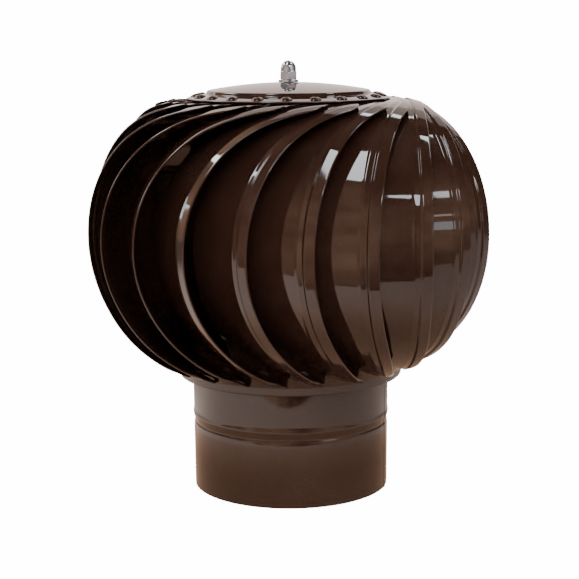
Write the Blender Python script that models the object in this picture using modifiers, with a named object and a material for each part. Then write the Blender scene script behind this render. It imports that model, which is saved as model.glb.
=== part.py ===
"""Turbine ventilator head: curved blades on a ring and a disc, spinning on a duct collar.

Metres, +Z up. The origin is on the axis of rotation, at the lower rim of the duct collar.
Everything on the rotor_axis empty turns together; each ball cage turns on an empty of its own.
"""
import math

import bmesh
import bpy
import numpy as np

MM = 0.001
GAP = 0.3 * MM

# Duct collar: a rolled sheet tube that slips into a 160 mm duct up to its stop bead.
DUCT_RADIUS = 80.0 * MM
COLLAR_WALL = 1.0 * MM
COLLAR_HEIGHT = 114.0 * MM
SPIGOT_EASE = 0.25 * MM
NECK_PROUD = 0.1 * MM
BEAD_HEIGHT = 61.0 * MM
BEAD_DROP = 6.0 * MM
BEAD_PROUD = 0.7 * MM
BEAD_SUNK = 0.9 * MM
BEAD_SHOULDER = 2.5 * MM
BEAD_FADE = 4.0 * MM
BEAD_FADE_PROUD = 0.15 * MM
GROOVE_SHOULDER = 1.5 * MM
GROOVE_FADE = 5.0 * MM
GROOVE_FADE_SUNK = 0.3 * MM

# Lower ring of the rotor: a lip turned in over the collar, an upright skirt, and above its fold
# the band that carries the blades.
RING_SHEET = 1.0 * MM
RING_RUNNING_CLEARANCE = 1.0 * MM
RING_OVERLAP = 23.0 * MM
SKIRT_HEIGHT = 9.4 * MM
SKIRT_FLARE = 9.6 * MM
LIP_RISE = 2.4 * MM
LIP_INSET = 0.6 * MM
BAND_HEIGHT = 13.6 * MM
BAND_FLARE = 8.4 * MM

# Top disc: a shallow dome, a step and a sloped rim over the blades' upper ends.
DISC_RADIUS = 81.0 * MM
DISC_SHEET = 1.0 * MM
DISC_RISE = 120.0 * MM
DOME_RISE = 6.0 * MM
STEP_DROP = 3.0 * MM
STEP_RUN = 1.5 * MM
STEP_FOOT = 0.3 * MM
GROOVE_WIDTH = 3.5 * MM
GROOVE_FLOOR = 1.0 * MM
RIM_WIDTH = 12.5 * MM
RIM_FALL = 2.6 * MM

# Blades: straight-edged strips, bent to a superellipse in the plane square to their rulings.
BLADE_COUNT = 21
FIRST_BLADE_AZIMUTH = -101.1
HEAD_RADIUS = 163.2 * MM
HEAD_DROP = 107.7 * MM
SET_ANGLE = 40.0
UPPER_POWER = 2.1
LOWER_POWER = 1.97
LOWER_RUNOUT = 5.3 * MM
BLADE_SHEET = 0.8 * MM
BLADE_WIDTH = 63.0 * MM
FOLD_FROM_EDGE = 11.0 * MM
FOLD_PROUD = 1.2 * MM
RIM_CLEARANCE = 0.4 * MM
END_ABOVE_FOLD = 0.9 * MM
TAPER_TOP_ANGLE = 86.0
TAB_REACH = 2.0 * MM
TAB_INSIDE_DISC = 6.0 * MM
TAB_INNER = 18.0 * MM
TAB_OUTER = 21.0 * MM
CORNER_CUT_INNER = 10.0 * MM
CORNER_CUT_OUTER = 15.0 * MM
TAPER_START = 34.0 * MM
TAPER_OUTER = 8.0 * MM
TAPER_INNER = 11.0 * MM
TAPER_POWER = 2.6
SEAT_LAP = 2.2 * MM
SEAT_LAP_FROM = 47.0
SEAT_LAP_TO = 52.0
SEAT_HOLD = 9.0 * MM
SEAT_FADE = 26.0 * MM
SEAT_CLEARANCE = 1.2 * MM
BLADE_ROWS = 16

# Drive shaft, bearing and its housing.
SHAFT_RADIUS = 3.85 * MM
SHAFT_TAIL = 3.2 * MM
SHAFT_CHAMFER = 0.7 * MM
BEARING_OUTER = 11.0 * MM
BEARING_WIDTH = 7.0 * MM
BALL_RADIUS = 1.98 * MM
BALL_COUNT = 7
BALL_CLEARANCE = 0.27 * MM
RACE_EDGE = 2.1 * MM
RACE_FLOOR = 0.9 * MM
SHOULDER_FROM_PITCH = 1.5 * MM
CAGE_HALF_WALL = 0.6 * MM
CAGE_BOTTOM = -2.8 * MM
CAGE_TOP = -0.8 * MM
SHIELD_SHEET = 0.3 * MM
SHIELD_INSET = 0.1 * MM
HOUSING_BELOW_NECK = 52.0 * MM
HOUSING_HEIGHT = 42.0 * MM
HOUSING_WALL = 3.2 * MM
HOUSING_LIP = 2.0 * MM
SHOULDER_HEIGHT = 1.2 * MM
CIRCLIP_SHEET = 1.2 * MM
CIRCLIP_WIDTH = 1.7 * MM
CIRCLIP_GAP_WIDTH = 5.0 * MM
CIRCLIP_GROOVE = 0.7 * MM
SPACER_WALL = 1.7 * MM

# Spider arms: flat bar with both ends bent, welded to the housing and to the collar.
ARM_COUNT = 3
FIRST_ARM_AZIMUTH = -103.0
ARM_WIDTH = 18.0 * MM
ARM_SHEET = 2.0 * MM
ARM_ABOVE_HOUSING = 8.0 * MM
ARM_WALL_TAB = 12.0 * MM
ARM_HUB_TAB = 7.0 * MM

# M8 fasteners.
NUT_FLATS = 13.0 * MM
NUT_HEIGHT = 6.5 * MM
THIN_NUT_HEIGHT = 5.0 * MM
CAP_NUT_HEIGHT = 15.0 * MM
CAP_DOME_RADIUS = 6.2 * MM
CAP_THREAD_DEPTH = 11.6 * MM
WASHER_SHEET = 1.6 * MM
WASHER_RADIUS = 8.0 * MM
WIDE_WASHER_RADIUS = 12.0 * MM
THRUST_WASHER_SHEET = 1.2 * MM
THRUST_WASHER_WALL = 2.85 * MM

# Sides of the round pieces.
LARGE_SIDES = 72
DISC_SIDES = 63
SMALL_SIDES = 24

BROWN_PAINT = ("brown_paint", (0.085, 0.045, 0.034), 0.22, 0.0)
BRIGHT_ZINC = ("bright_zinc", (0.74, 0.76, 0.79), 0.16, 1.0)
PLAIN_ZINC = ("plain_zinc", (0.58, 0.59, 0.60), 0.35, 1.0)
BEARING_STEEL = ("bearing_steel", (0.62, 0.63, 0.65), 0.22, 1.0)
SPRING_STEEL = ("spring_steel", (0.16, 0.16, 0.17), 0.40, 0.9)

# Places that follow from the sizes above, from the collar up.
RING_BOTTOM = COLLAR_HEIGHT - RING_OVERLAP
RING_BOTTOM_RADIUS = DUCT_RADIUS + RING_RUNNING_CLEARANCE + RING_SHEET
FOLD_RADIUS = RING_BOTTOM_RADIUS + SKIRT_FLARE
FOLD_Z = RING_BOTTOM + SKIRT_HEIGHT
BAND_TOP_RADIUS = FOLD_RADIUS + BAND_FLARE
BAND_TOP_Z = FOLD_Z + BAND_HEIGHT
BLADE_END_Z = FOLD_Z + END_ABOVE_FOLD
HEAD_MIDDLE = BLADE_END_Z + HEAD_DROP
LOWER_HEIGHT = HEAD_DROP + LOWER_RUNOUT
DISC_TOP = HEAD_MIDDLE + DISC_RISE
RIM_INNER_RADIUS = DISC_RADIUS - RIM_WIDTH
RIM_INNER_Z = DISC_TOP - DOME_RISE - STEP_DROP
RIM_OUTER_Z = RIM_INNER_Z - RIM_FALL
RIM_SLOPE = RIM_FALL / RIM_WIDTH
DOME_RADIUS = RIM_INNER_RADIUS - GROOVE_WIDTH
BLADE_TOP_Z = RIM_OUTER_Z - DISC_SHEET - RIM_CLEARANCE
UPPER_HEIGHT = BLADE_TOP_Z - HEAD_MIDDLE
EDGE_OFFSET = HEAD_RADIUS * math.sin(math.radians(SET_ANGLE))
BLADE_REACH = HEAD_RADIUS * math.cos(math.radians(SET_ANGLE))
TAB_MIDDLE = DISC_RADIUS - TAB_INSIDE_DISC
SHAFT_BORE = SHAFT_RADIUS + GAP
BALL_PITCH = (SHAFT_BORE + BEARING_OUTER) / 2
INNER_SHOULDER = BALL_PITCH - SHOULDER_FROM_PITCH
OUTER_SHOULDER = BALL_PITCH + SHOULDER_FROM_PITCH
INNER_GROOVE = BALL_PITCH - BALL_RADIUS - BALL_CLEARANCE
OUTER_GROOVE = BALL_PITCH + BALL_RADIUS + BALL_CLEARANCE
HOUSING_BORE = BEARING_OUTER + GAP
HOUSING_BOTTOM = COLLAR_HEIGHT - HOUSING_BELOW_NECK
HOUSING_TOP = HOUSING_BOTTOM + HOUSING_HEIGHT
LOWER_CIRCLIP_Z = HOUSING_BOTTOM + HOUSING_LIP
UPPER_CIRCLIP_Z = HOUSING_TOP - HOUSING_LIP - CIRCLIP_SHEET
LOWER_BEARING_Z = LOWER_CIRCLIP_Z + CIRCLIP_SHEET + GAP + BEARING_WIDTH / 2
UPPER_BEARING_Z = UPPER_CIRCLIP_Z - GAP - BEARING_WIDTH / 2
LOWER_SHOULDER_Z = LOWER_BEARING_Z + BEARING_WIDTH / 2 + GAP
UPPER_SHOULDER_Z = UPPER_BEARING_Z - BEARING_WIDTH / 2 - GAP
END_WASHER_Z = LOWER_BEARING_Z - BEARING_WIDTH / 2 - GAP - THRUST_WASHER_SHEET
END_NUT_Z = END_WASHER_Z - GAP - NUT_HEIGHT
SHAFT_BOTTOM = END_NUT_Z - SHAFT_TAIL
THRUST_WASHER_RADIUS = SHAFT_BORE + THRUST_WASHER_WALL
ARM_HEIGHT = HOUSING_BOTTOM + ARM_ABOVE_HOUSING


def clear_scene():
    """Removes the objects that a new file opens with."""
    for obj in list(bpy.data.objects):
        bpy.data.objects.remove(obj, do_unlink=True)


def new_collection(name):
    """A collection linked under the scene."""
    collection = bpy.data.collections.new(name)
    bpy.context.scene.collection.children.link(collection)
    return collection


def new_material(name, color, roughness, metallic):
    """A Principled material of one colour."""
    material = bpy.data.materials.new(name)
    material.use_nodes = True
    shader = material.node_tree.nodes["Principled BSDF"]
    shader.inputs["Base Color"].default_value = (*color, 1.0)
    shader.inputs["Roughness"].default_value = roughness
    shader.inputs["Metallic"].default_value = metallic
    return material


def new_empty(name, collection):
    """An empty on the axis of rotation, which carries what turns."""
    empty = bpy.data.objects.new(name, None)
    collection.objects.link(empty)
    return empty


def place(name, data, finish, collection, parent=None):
    """An object for a mesh or curve, with a material of its own."""
    obj = bpy.data.objects.new(name, data)
    collection.objects.link(obj)
    if not data.materials:
        data.materials.append(new_material(name + "_" + finish[0], *finish[1:]))
    obj.parent = parent
    return obj


def place_shape(name, shape, finish, collection, parent=None):
    """An object for a finished bmesh shape."""
    mesh = bpy.data.meshes.new(name)
    shape.to_mesh(mesh)
    shape.free()
    return place(name, mesh, finish, collection, parent)


def hide(cutter):
    """Shows a cutter as a wire and leaves it out of the model."""
    cutter.hide_render = True
    cutter.display_type = "WIRE"
    return cutter


def smooth_mesh(mesh):
    """Smooth shading that keeps edges over 40 degrees sharp."""
    mesh.shade_smooth()
    mesh.set_sharp_from_angle(angle=math.radians(40))


def turned(name, outline, finish, collection, parent=None, sides=SMALL_SIDES, closed=True):
    """A turned piece: an outline of (radius, height) points, outer side down, and a Screw.

    The Screw is applied so that its flats can be shaded smooth with the corners kept sharp.
    """
    count = len(outline)
    edges = [(i, i + 1) for i in range(count - 1)]
    if closed:
        edges.append((count - 1, 0))
    mesh = bpy.data.meshes.new(name)
    mesh.from_pydata([(r, 0.0, z) for r, z in outline], edges, [])
    obj = place(name, mesh, finish, collection, parent)
    screw = obj.modifiers.new("Turn", "SCREW")
    screw.angle = 2 * math.pi
    screw.steps = sides
    screw.render_steps = sides
    screw.use_merge_vertices = True
    screw.merge_threshold = 0.00001
    graph = bpy.context.evaluated_depsgraph_get()
    solid = bpy.data.meshes.new_from_object(obj.evaluated_get(graph), depsgraph=graph)
    smooth_mesh(solid)
    obj.modifiers.remove(screw)
    obj.data = solid
    bpy.data.meshes.remove(mesh)
    return obj


def tube_outline(inner, outer, bottom, top):
    """The section of a plain tube or washer."""
    return [(outer, top), (outer, bottom), (inner, bottom), (inner, top)]


def sheet_outline(line, sheet):
    """The closed section of bent sheet: the outer line, and the same line a sheet further in."""
    points = np.array(line)
    runs = np.diff(points, axis=0)
    runs /= np.linalg.norm(runs, axis=1)[:, None]
    normals = np.stack([-runs[:, 1], runs[:, 0]], axis=1)
    corners = np.vstack([normals[:1], normals[:-1] + normals[1:], normals[-1:]])
    corners /= np.linalg.norm(corners, axis=1)[:, None]
    lean = np.ones(len(points))
    lean[1:-1] = (corners[1:-1] * normals[1:]).sum(axis=1)
    inside = points - sheet * corners / lean[:, None]
    return [tuple(p) for p in points] + [tuple(p) for p in inside[::-1]]


def subtract(obj, cutter):
    """Cuts a hidden solid out of a piece."""
    cut = obj.modifiers.new("Cut", "BOOLEAN")
    cut.operation = "DIFFERENCE"
    cut.solver = "EXACT"
    cut.object = cutter


def unite(obj, other):
    """Joins a hidden solid to a piece."""
    join = obj.modifiers.new("Join", "BOOLEAN")
    join.operation = "UNION"
    join.solver = "EXACT"
    join.object = other


def smoothstep(low, high, value):
    """0 below low, 1 above high, and an even S between."""
    share = np.clip((value - low) / (high - low), 0.0, 1.0)
    return share * share * (3.0 - 2.0 * share)


def make_collar(collection):
    """The duct collar: a spigot, a groove and bead that stop the duct, and a neck."""
    neck = DUCT_RADIUS + NECK_PROUD
    groove_z = BEAD_HEIGHT - BEAD_DROP
    line = [
        (neck, COLLAR_HEIGHT),
        (neck, BEAD_HEIGHT + BEAD_FADE),
        (neck + BEAD_FADE_PROUD, BEAD_HEIGHT + BEAD_SHOULDER),
        (DUCT_RADIUS + BEAD_PROUD, BEAD_HEIGHT),
        (DUCT_RADIUS - BEAD_SUNK, groove_z),
        (DUCT_RADIUS - GROOVE_FADE_SUNK, groove_z - GROOVE_SHOULDER),
        (DUCT_RADIUS, groove_z - GROOVE_FADE),
        (DUCT_RADIUS - SPIGOT_EASE, 0.0),
    ]
    outline = sheet_outline(line, COLLAR_WALL)
    top_inner = len(line)
    bottom_radius = DUCT_RADIUS - SPIGOT_EASE - COLLAR_WALL
    outline[top_inner] = (bottom_radius, 0.0)
    outline[-1] = (neck - COLLAR_WALL, COLLAR_HEIGHT)
    turned("duct_collar", outline, BROWN_PAINT, collection, sides=LARGE_SIDES)


def make_arms(collection):
    """Three bent bars that hold the bearing housing on the collar's axis."""
    hub = HOUSING_BORE + HOUSING_WALL + GAP
    wall_inside = DUCT_RADIUS - COLLAR_WALL
    wall = math.sqrt((wall_inside - GAP) ** 2 - (ARM_WIDTH / 2) ** 2)
    top = ARM_HEIGHT + ARM_SHEET
    outline = [
        (hub, top),
        (hub, top - ARM_HUB_TAB),
        (hub + ARM_SHEET, top - ARM_HUB_TAB),
        (hub + ARM_SHEET, ARM_HEIGHT),
        (wall, ARM_HEIGHT),
        (wall, ARM_HEIGHT + ARM_WALL_TAB),
        (wall - ARM_SHEET, ARM_HEIGHT + ARM_WALL_TAB),
        (wall - ARM_SHEET, top),
    ]
    for number in range(ARM_COUNT):
        curve = bpy.data.curves.new("spider_arm_%d" % (number + 1), "CURVE")
        curve.dimensions = "2D"
        curve.fill_mode = "BOTH"
        curve.extrude = ARM_WIDTH / 2
        spline = curve.splines.new("POLY")
        spline.points.add(len(outline) - 1)
        for point, (x, y) in zip(spline.points, outline):
            point.co = (x, y, 0.0, 1.0)
        spline.use_cyclic_u = True
        arm = place(curve.name, curve, BROWN_PAINT, collection)
        azimuth = math.radians(FIRST_ARM_AZIMUTH + number * 360.0 / ARM_COUNT)
        arm.rotation_euler = (math.pi / 2, 0.0, azimuth)


def make_housing(collection):
    """The tube that holds both bearings, with a seat, a shoulder and two circlip grooves."""
    bore = HOUSING_BORE
    outer = bore + HOUSING_WALL
    groove = bore + CIRCLIP_GROOVE
    shoulder = bore - SHOULDER_HEIGHT
    outline = [(outer, HOUSING_TOP), (outer, HOUSING_BOTTOM), (bore, HOUSING_BOTTOM)]
    outline += [(bore, LOWER_CIRCLIP_Z - GAP), (groove, LOWER_CIRCLIP_Z - GAP)]
    outline += [(groove, LOWER_CIRCLIP_Z + CIRCLIP_SHEET + GAP)]
    outline += [(bore, LOWER_CIRCLIP_Z + CIRCLIP_SHEET + GAP)]
    outline += [(bore, LOWER_SHOULDER_Z), (shoulder, LOWER_SHOULDER_Z)]
    outline += [(shoulder, UPPER_SHOULDER_Z), (bore, UPPER_SHOULDER_Z)]
    outline += [(bore, UPPER_CIRCLIP_Z - GAP), (groove, UPPER_CIRCLIP_Z - GAP)]
    outline += [(groove, UPPER_CIRCLIP_Z + CIRCLIP_SHEET + GAP)]
    outline += [(bore, UPPER_CIRCLIP_Z + CIRCLIP_SHEET + GAP), (bore, HOUSING_TOP)]
    turned("bearing_housing", outline, PLAIN_ZINC, collection)


def make_circlip(name, bottom, collection, cutters):
    """An internal circlip: a flat ring, open at one side."""
    outer = HOUSING_BORE + CIRCLIP_GROOVE - GAP
    inner = HOUSING_BORE - CIRCLIP_WIDTH
    outline = tube_outline(inner, outer, bottom, bottom + CIRCLIP_SHEET)
    ring = turned(name, outline, SPRING_STEEL, collection)
    block = bmesh.new()
    bmesh.ops.create_cube(block, size=1.0)
    bmesh.ops.scale(block, verts=block.verts, vec=(outer, CIRCLIP_GAP_WIDTH, 4 * CIRCLIP_SHEET))
    slot = hide(place_shape(name + "_slot", block, SPRING_STEEL, cutters))
    slot.location = (outer, 0.0, bottom + CIRCLIP_SHEET / 2)
    subtract(ring, slot)


def make_bearing(name, middle, collection, cutters, rotor_axis):
    """One 8 x 22 x 7 ball bearing: two rings, two shields, and the balls in their cage."""
    half = BEARING_WIDTH / 2
    inner = [(INNER_SHOULDER, half), (INNER_SHOULDER, RACE_EDGE), (INNER_GROOVE, RACE_FLOOR)]
    inner += [(INNER_GROOVE, -RACE_FLOOR), (INNER_SHOULDER, -RACE_EDGE)]
    inner += [(INNER_SHOULDER, -half)]
    inner += [(SHAFT_BORE, -half), (SHAFT_BORE, half)]
    ring = turned(name + "_inner_ring", inner, BEARING_STEEL, collection, rotor_axis)
    ring.location.z = middle
    outer = [(BEARING_OUTER, half), (BEARING_OUTER, -half), (OUTER_SHOULDER, -half)]
    outer += [(OUTER_SHOULDER, -RACE_EDGE), (OUTER_GROOVE, -RACE_FLOOR)]
    outer += [(OUTER_GROOVE, RACE_FLOOR), (OUTER_SHOULDER, RACE_EDGE)]
    outer += [(OUTER_SHOULDER, half)]
    ring = turned(name + "_outer_ring", outer, BEARING_STEEL, collection)
    ring.location.z = middle
    shield = tube_outline(INNER_SHOULDER + GAP, OUTER_SHOULDER - GAP, -SHIELD_SHEET, 0.0)
    upper = turned(name + "_upper_shield", shield, BEARING_STEEL, collection)
    upper.location.z = middle + half - SHIELD_INSET
    lower = turned(name + "_lower_shield", shield, BEARING_STEEL, collection)
    lower.location.z = middle - half + SHIELD_SHEET + SHIELD_INSET
    cage_axis = new_empty(name + "_cage_axis", collection)
    cage_axis.location.z = middle
    make_cage(name + "_ball_cage", collection, cutters, cage_axis)


def make_cage(name, collection, cutters, cage_axis):
    """The crown of a bearing: a ring under the balls that keeps them an even pitch apart."""
    crown = tube_outline(BALL_PITCH - CAGE_HALF_WALL, BALL_PITCH + CAGE_HALF_WALL, CAGE_BOTTOM,
                         CAGE_TOP)
    cage = turned(name, crown, BEARING_STEEL, collection, cage_axis)
    shapes = bmesh.new()
    for number in range(BALL_COUNT):
        ball = bmesh.ops.create_uvsphere(shapes, u_segments=10, v_segments=6, radius=BALL_RADIUS)
        turn = 2 * math.pi * number / BALL_COUNT
        offset = (BALL_PITCH * math.cos(turn), BALL_PITCH * math.sin(turn), 0.0)
        bmesh.ops.translate(shapes, verts=ball["verts"], vec=offset)
    balls = hide(place_shape(name + "_balls", shapes, BEARING_STEEL, cutters, cage_axis))
    unite(cage, balls)


def make_hex(name, bottom, height, collection, cutters, rotor_axis, bore_depth):
    """A hexagon nut with its bore cut from below, one corner facing -Y."""
    shape = bmesh.new()
    corner = NUT_FLATS / math.sqrt(3.0)
    bmesh.ops.create_cone(shape, cap_ends=True, segments=6, radius1=corner, radius2=corner,
                          depth=height)
    bmesh.ops.translate(shape, verts=shape.verts, vec=(0.0, 0.0, bottom + height / 2))
    nut = place_shape(name, shape, BRIGHT_ZINC, collection, rotor_axis)
    drill = bmesh.new()
    bmesh.ops.create_cone(drill, cap_ends=True, segments=SMALL_SIDES, radius1=SHAFT_BORE,
                          radius2=SHAFT_BORE, depth=bore_depth + MM)
    middle = bottom + (bore_depth - MM) / 2
    bmesh.ops.translate(drill, verts=drill.verts, vec=(0.0, 0.0, middle))
    bore = hide(place_shape(name + "_bore", drill, BRIGHT_ZINC, cutters, rotor_axis))
    return nut, bore


def make_nut(name, bottom, height, collection, cutters, rotor_axis):
    """A plain hexagon nut, bored right through."""
    nut, bore = make_hex(name, bottom, height, collection, cutters, rotor_axis, height + MM)
    subtract(nut, bore)


def make_cap_nut(bottom, collection, cutters, rotor_axis):
    """The domed cap nut: a hexagon with a domed head, and a blind bore."""
    nut, bore = make_hex("cap_nut", bottom, NUT_HEIGHT, collection, cutters, rotor_axis,
                         CAP_THREAD_DEPTH)
    centre = CAP_NUT_HEIGHT - CAP_DOME_RADIUS
    arc = [math.radians(a) for a in (90, 67, 45, 22, 0)]
    outline = [(CAP_DOME_RADIUS * math.cos(a), centre + CAP_DOME_RADIUS * math.sin(a)) for a in arc]
    outline[0] = (0.0, CAP_NUT_HEIGHT)
    outline += [(CAP_DOME_RADIUS, NUT_HEIGHT / 2), (0.0, NUT_HEIGHT / 2)]
    dome = turned("cap_nut_dome", outline, BRIGHT_ZINC, cutters, rotor_axis, closed=False)
    dome.location.z = bottom
    hide(dome)
    unite(nut, dome)
    subtract(nut, bore)


def make_washer(name, radius, bottom, sheet, collection, rotor_axis):
    """A flat washer on the shaft."""
    outline = tube_outline(SHAFT_BORE, radius, bottom, bottom + sheet)
    turned(name, outline, BRIGHT_ZINC, collection, rotor_axis)


def make_shaft_stack(collection, cutters, rotor_axis):
    """The shaft and all that is threaded on it, from the lower end to the cap nut."""
    make_washer("end_washer", THRUST_WASHER_RADIUS, END_WASHER_Z, THRUST_WASHER_SHEET,
                collection, rotor_axis)
    make_nut("end_lock_nut", END_NUT_Z, NUT_HEIGHT, collection, cutters, rotor_axis)
    spacer = tube_outline(SHAFT_BORE, SHAFT_BORE + SPACER_WALL, LOWER_SHOULDER_Z,
                          UPPER_SHOULDER_Z)
    turned("bearing_spacer", spacer, PLAIN_ZINC, collection, rotor_axis)
    thrust_z = UPPER_BEARING_Z + BEARING_WIDTH / 2 + GAP
    make_washer("thrust_washer", THRUST_WASHER_RADIUS, thrust_z, THRUST_WASHER_SHEET, collection,
                rotor_axis)
    make_nut("bearing_lock_nut", thrust_z + THRUST_WASHER_SHEET + GAP, THIN_NUT_HEIGHT,
             collection, cutters, rotor_axis)
    under_disc = DISC_TOP - DISC_SHEET - dome_fall(WIDE_WASHER_RADIUS) - GAP - WASHER_SHEET
    make_washer("wide_washer", WIDE_WASHER_RADIUS, under_disc, WASHER_SHEET, collection,
                rotor_axis)
    make_nut("support_nut", under_disc - GAP - NUT_HEIGHT, NUT_HEIGHT, collection, cutters,
             rotor_axis)
    make_washer("top_washer", WASHER_RADIUS, DISC_TOP + GAP, WASHER_SHEET, collection, rotor_axis)
    cap_z = DISC_TOP + GAP + WASHER_SHEET + GAP
    make_cap_nut(cap_z, collection, cutters, rotor_axis)
    top = cap_z + CAP_THREAD_DEPTH - 2 * GAP
    core = SHAFT_RADIUS - SHAFT_CHAMFER
    outline = [(0.0, top), (core, top), (SHAFT_RADIUS, top - SHAFT_CHAMFER)]
    outline += [(SHAFT_RADIUS, SHAFT_BOTTOM + SHAFT_CHAMFER), (core, SHAFT_BOTTOM)]
    outline += [(0.0, SHAFT_BOTTOM)]
    turned("drive_shaft", outline, PLAIN_ZINC, collection, rotor_axis, closed=False)


def dome_fall(radius):
    """How far the disc's dome has dropped from its top at a radius."""
    return DOME_RISE * (radius / DOME_RADIUS) ** 2


def make_disc(collection, rotor_axis):
    """The top disc: a dome, a step down and a sloped rim, with the shaft's hole."""
    radii = [SHAFT_BORE, DOME_RADIUS / 3, DOME_RADIUS * 2 / 3, DOME_RADIUS]
    line = [(r, DISC_TOP - dome_fall(r)) for r in radii]
    line += [(DOME_RADIUS + STEP_RUN, RIM_INNER_Z + STEP_FOOT)]
    line += [(RIM_INNER_RADIUS + GROOVE_FLOOR, RIM_INNER_Z - RIM_SLOPE * GROOVE_FLOOR)]
    line += [(DISC_RADIUS, RIM_OUTER_Z)]
    turned("top_disc", sheet_outline(line, DISC_SHEET), BROWN_PAINT, collection, rotor_axis,
           sides=DISC_SIDES)


def make_ring(collection, rotor_axis):
    """The lower ring: the band the blades are riveted to, its skirt, and the lip over the collar."""
    line = [(BAND_TOP_RADIUS, BAND_TOP_Z), (FOLD_RADIUS, FOLD_Z)]
    line += [(FOLD_RADIUS - LIP_INSET, RING_BOTTOM + LIP_RISE)]
    line += [(RING_BOTTOM_RADIUS, RING_BOTTOM)]
    turned("lower_ring", sheet_outline(line, RING_SHEET), BROWN_PAINT, collection, rotor_axis,
           sides=DISC_SIDES)


def ring_radius(height):
    """The outer radius of the ring's band at a height, carried on above the band."""
    return FOLD_RADIUS + BAND_FLARE * (height - FOLD_Z) / BAND_HEIGHT


def strip_section(turn):
    """The blade's bent line: reach and height of a superellipse at an angle from its middle."""
    power = np.where(turn > 0, UPPER_POWER, LOWER_POWER)
    half = np.where(turn > 0, UPPER_HEIGHT, LOWER_HEIGHT)
    reach = BLADE_REACH * np.maximum(np.cos(turn), 0.0) ** (2 / power)
    height = HEAD_MIDDLE + np.sign(turn) * half * np.abs(np.sin(turn)) ** (2 / power)
    return reach, height


def top_turn(offset):
    """Where the strip's upper end is cut: a tab between two slanting corners."""
    inner = np.maximum(TAB_MIDDLE - TAB_INNER / 2 - offset, 0.0)
    outer = np.maximum(offset - TAB_MIDDLE - TAB_OUTER / 2, 0.0)
    inner_run = TAB_MIDDLE - TAB_INNER / 2 - (EDGE_OFFSET - BLADE_WIDTH)
    outer_run = EDGE_OFFSET - TAB_MIDDLE - TAB_OUTER / 2
    reach = TAB_REACH + CORNER_CUT_INNER * inner / inner_run + CORNER_CUT_OUTER * outer / outer_run
    return np.arccos((reach / BLADE_REACH) ** (UPPER_POWER / 2))


def blade_points():
    """Rows down the strip and columns across it, for a blade whose rulings run along +Y."""
    bottom_sine = ((HEAD_MIDDLE - BLADE_END_Z) / LOWER_HEIGHT) ** (LOWER_POWER / 2)
    bottom_turn = -math.asin(bottom_sine)
    rows = np.linspace(0.0, 1.0, BLADE_ROWS + 1)
    nominal = (1 - rows) * math.radians(TAPER_TOP_ANGLE) + rows * bottom_turn
    height = strip_section(nominal)[1]
    taper = np.clip((BLADE_END_Z + TAPER_START - height) / TAPER_START, 0.0, 1.0) ** TAPER_POWER
    outer = EDGE_OFFSET - TAPER_OUTER * taper
    inner = EDGE_OFFSET - BLADE_WIDTH + TAPER_INNER * taper
    fold = outer - FOLD_FROM_EDGE
    offset = np.stack([inner, (inner + fold) / 2, fold, outer], axis=1)
    turn = (1 - rows[:, None]) * top_turn(offset) + rows[:, None] * bottom_turn
    reach, height = strip_section(turn)
    proud = np.zeros_like(reach)
    proud[2:-2, 2] = FOLD_PROUD
    reach = reach + proud * np.cos(turn)
    height = height + proud * np.sin(turn)
    return seat_on_ring(reach, offset, height)


def seat_on_ring(reach, offset, height):
    """Pushes the lower end out to lie on the ring's band, its outer part over the next blade."""
    radius = np.hypot(reach, offset)
    angle = np.degrees(np.arctan2(offset, reach))
    lap = SEAT_LAP * smoothstep(SEAT_LAP_FROM, SEAT_LAP_TO, angle)
    seat = ring_radius(height) + BLADE_SHEET + SEAT_CLEARANCE + lap
    hold = 1.0 - smoothstep(BAND_TOP_Z + SEAT_HOLD, BAND_TOP_Z + SEAT_FADE, height)
    grown = radius + hold * np.maximum(seat - radius, 0.0)
    return reach * grown / radius, offset * grown / radius, height


def make_blades(collection, rotor_axis):
    """All the blades, on one mesh: a grid with a sheet's thickness on its inner side."""
    grid = np.stack(blade_points(), axis=-1)
    rows, columns = grid.shape[:2]
    faces = []
    for i in range(rows - 1):
        for j in range(columns - 1):
            first = i * columns + j
            faces.append((first, first + columns, first + columns + 1, first + 1))
    mesh = bpy.data.meshes.new("blade")
    mesh.from_pydata(grid.reshape(-1, 3).tolist(), [], faces)
    smooth_mesh(mesh)
    for number in range(BLADE_COUNT):
        blade = place("blade_%02d" % (number + 1), mesh, BROWN_PAINT, collection, rotor_axis)
        edge_azimuth = FIRST_BLADE_AZIMUTH + number * 360.0 / BLADE_COUNT
        blade.rotation_euler.z = math.radians(edge_azimuth - SET_ANGLE)
        sheet = blade.modifiers.new("Sheet", "SOLIDIFY")
        sheet.thickness = BLADE_SHEET
        sheet.offset = -1.0


def main():
    """Builds the ventilator from the collar up."""
    clear_scene()
    pieces = new_collection("turbine_ventilator")
    cutters = new_collection("cutters")
    rotor_axis = new_empty("rotor_axis", pieces)
    make_collar(pieces)
    make_arms(pieces)
    make_housing(pieces)
    make_circlip("lower_circlip", LOWER_CIRCLIP_Z, pieces, cutters)
    make_circlip("upper_circlip", UPPER_CIRCLIP_Z, pieces, cutters)
    make_bearing("lower_bearing", LOWER_BEARING_Z, pieces, cutters, rotor_axis)
    make_bearing("upper_bearing", UPPER_BEARING_Z, pieces, cutters, rotor_axis)
    make_shaft_stack(pieces, cutters, rotor_axis)
    make_ring(pieces, rotor_axis)
    make_disc(pieces, rotor_axis)
    make_blades(pieces, rotor_axis)


main()
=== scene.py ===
import math

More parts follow.
